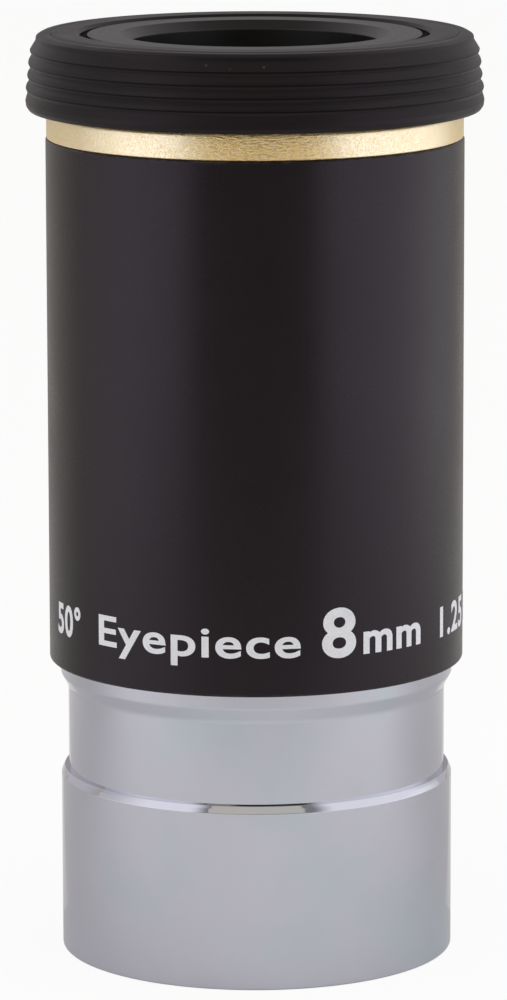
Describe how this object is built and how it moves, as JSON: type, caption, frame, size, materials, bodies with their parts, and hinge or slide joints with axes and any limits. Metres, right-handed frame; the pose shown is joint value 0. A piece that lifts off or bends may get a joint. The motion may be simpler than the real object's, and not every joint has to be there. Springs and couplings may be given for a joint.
{
  "type": "telescope eyepiece",
  "caption": "Push-fit telescope eyepiece: chromed barrel with undercut, black body, gold trim ring, fold-down rubber eyecup.",
  "frame": {"origin": "centre of the barrel's open end, on the optical axis", "axes": "+Z along the optical axis, from the telescope towards the eye; the marking faces -Y"},
  "size_m": [0.0366, 0.0366, 0.0746],
  "materials": {
    "black_anodised": "satin",
    "gold_anodised": "satin",
    "chrome_plate": "satin",
    "eyecup_rubber": "matte",
    "blackened_metal": "matte",
    "coated_glass": "polished"
  },
  "bodies": {
    "nose_barrel": {"barrel": "chrome_plate", "nose_lens_cell": "blackened_metal", "nose_negative_lens": "coated_glass", "nose_positive_lens": "coated_glass", "nose_retaining_ring": "blackened_metal", "nose_lock_ring": "blackened_metal", "barrel_baffle_ring": "blackened_metal"},
    "field_stop": {"field_stop_ring": "blackened_metal"},
    "main_body": {"body_shell": "black_anodised", "lens_tube": "blackened_metal", "lens_tube_retaining_ring": "blackened_metal", "doublet_flint_lens": "coated_glass", "doublet_crown_lens": "coated_glass", "lower_spacer_ring": "blackened_metal", "middle_lens": "coated_glass", "upper_spacer_ring": "blackened_metal", "eye_lens": "coated_glass", "gold_trim_ring": "gold_anodised", "eye_lens_cap": "black_anodised"},
    "eyecup_seat": {"eyecup_base": "eyecup_rubber"},
    "eyecup_fold": {"eyecup_skirt": "eyecup_rubber"}
  },
  "joints": [
    {"name": "body_turn", "type": "hinge", "parent": "nose_barrel", "child": "field_stop", "pos_m": [0, 0, 0.028], "axis": [0, 0, 1], "range_deg": [0, 1980]},
    {"name": "body_travel", "type": "slide", "parent": "field_stop", "child": "main_body", "axis": [0, 0, 1], "range_m": [0, 0.00412]},
    {"name": "eyecup_turn", "type": "hinge", "parent": "main_body", "child": "eyecup_seat", "pos_m": [0, 0, 0.0724], "axis": [0, 0, 1], "continuous": true},
    {"name": "eyecup_raise", "type": "slide", "parent": "eyecup_seat", "child": "eyecup_fold", "axis": [0, 0, 1], "range_m": [0, 0.006]}
  ],
  "couplings": [
    {"joint": "body_turn", "follows": "body_travel", "rad_per_m": 8377.6}
  ]
}
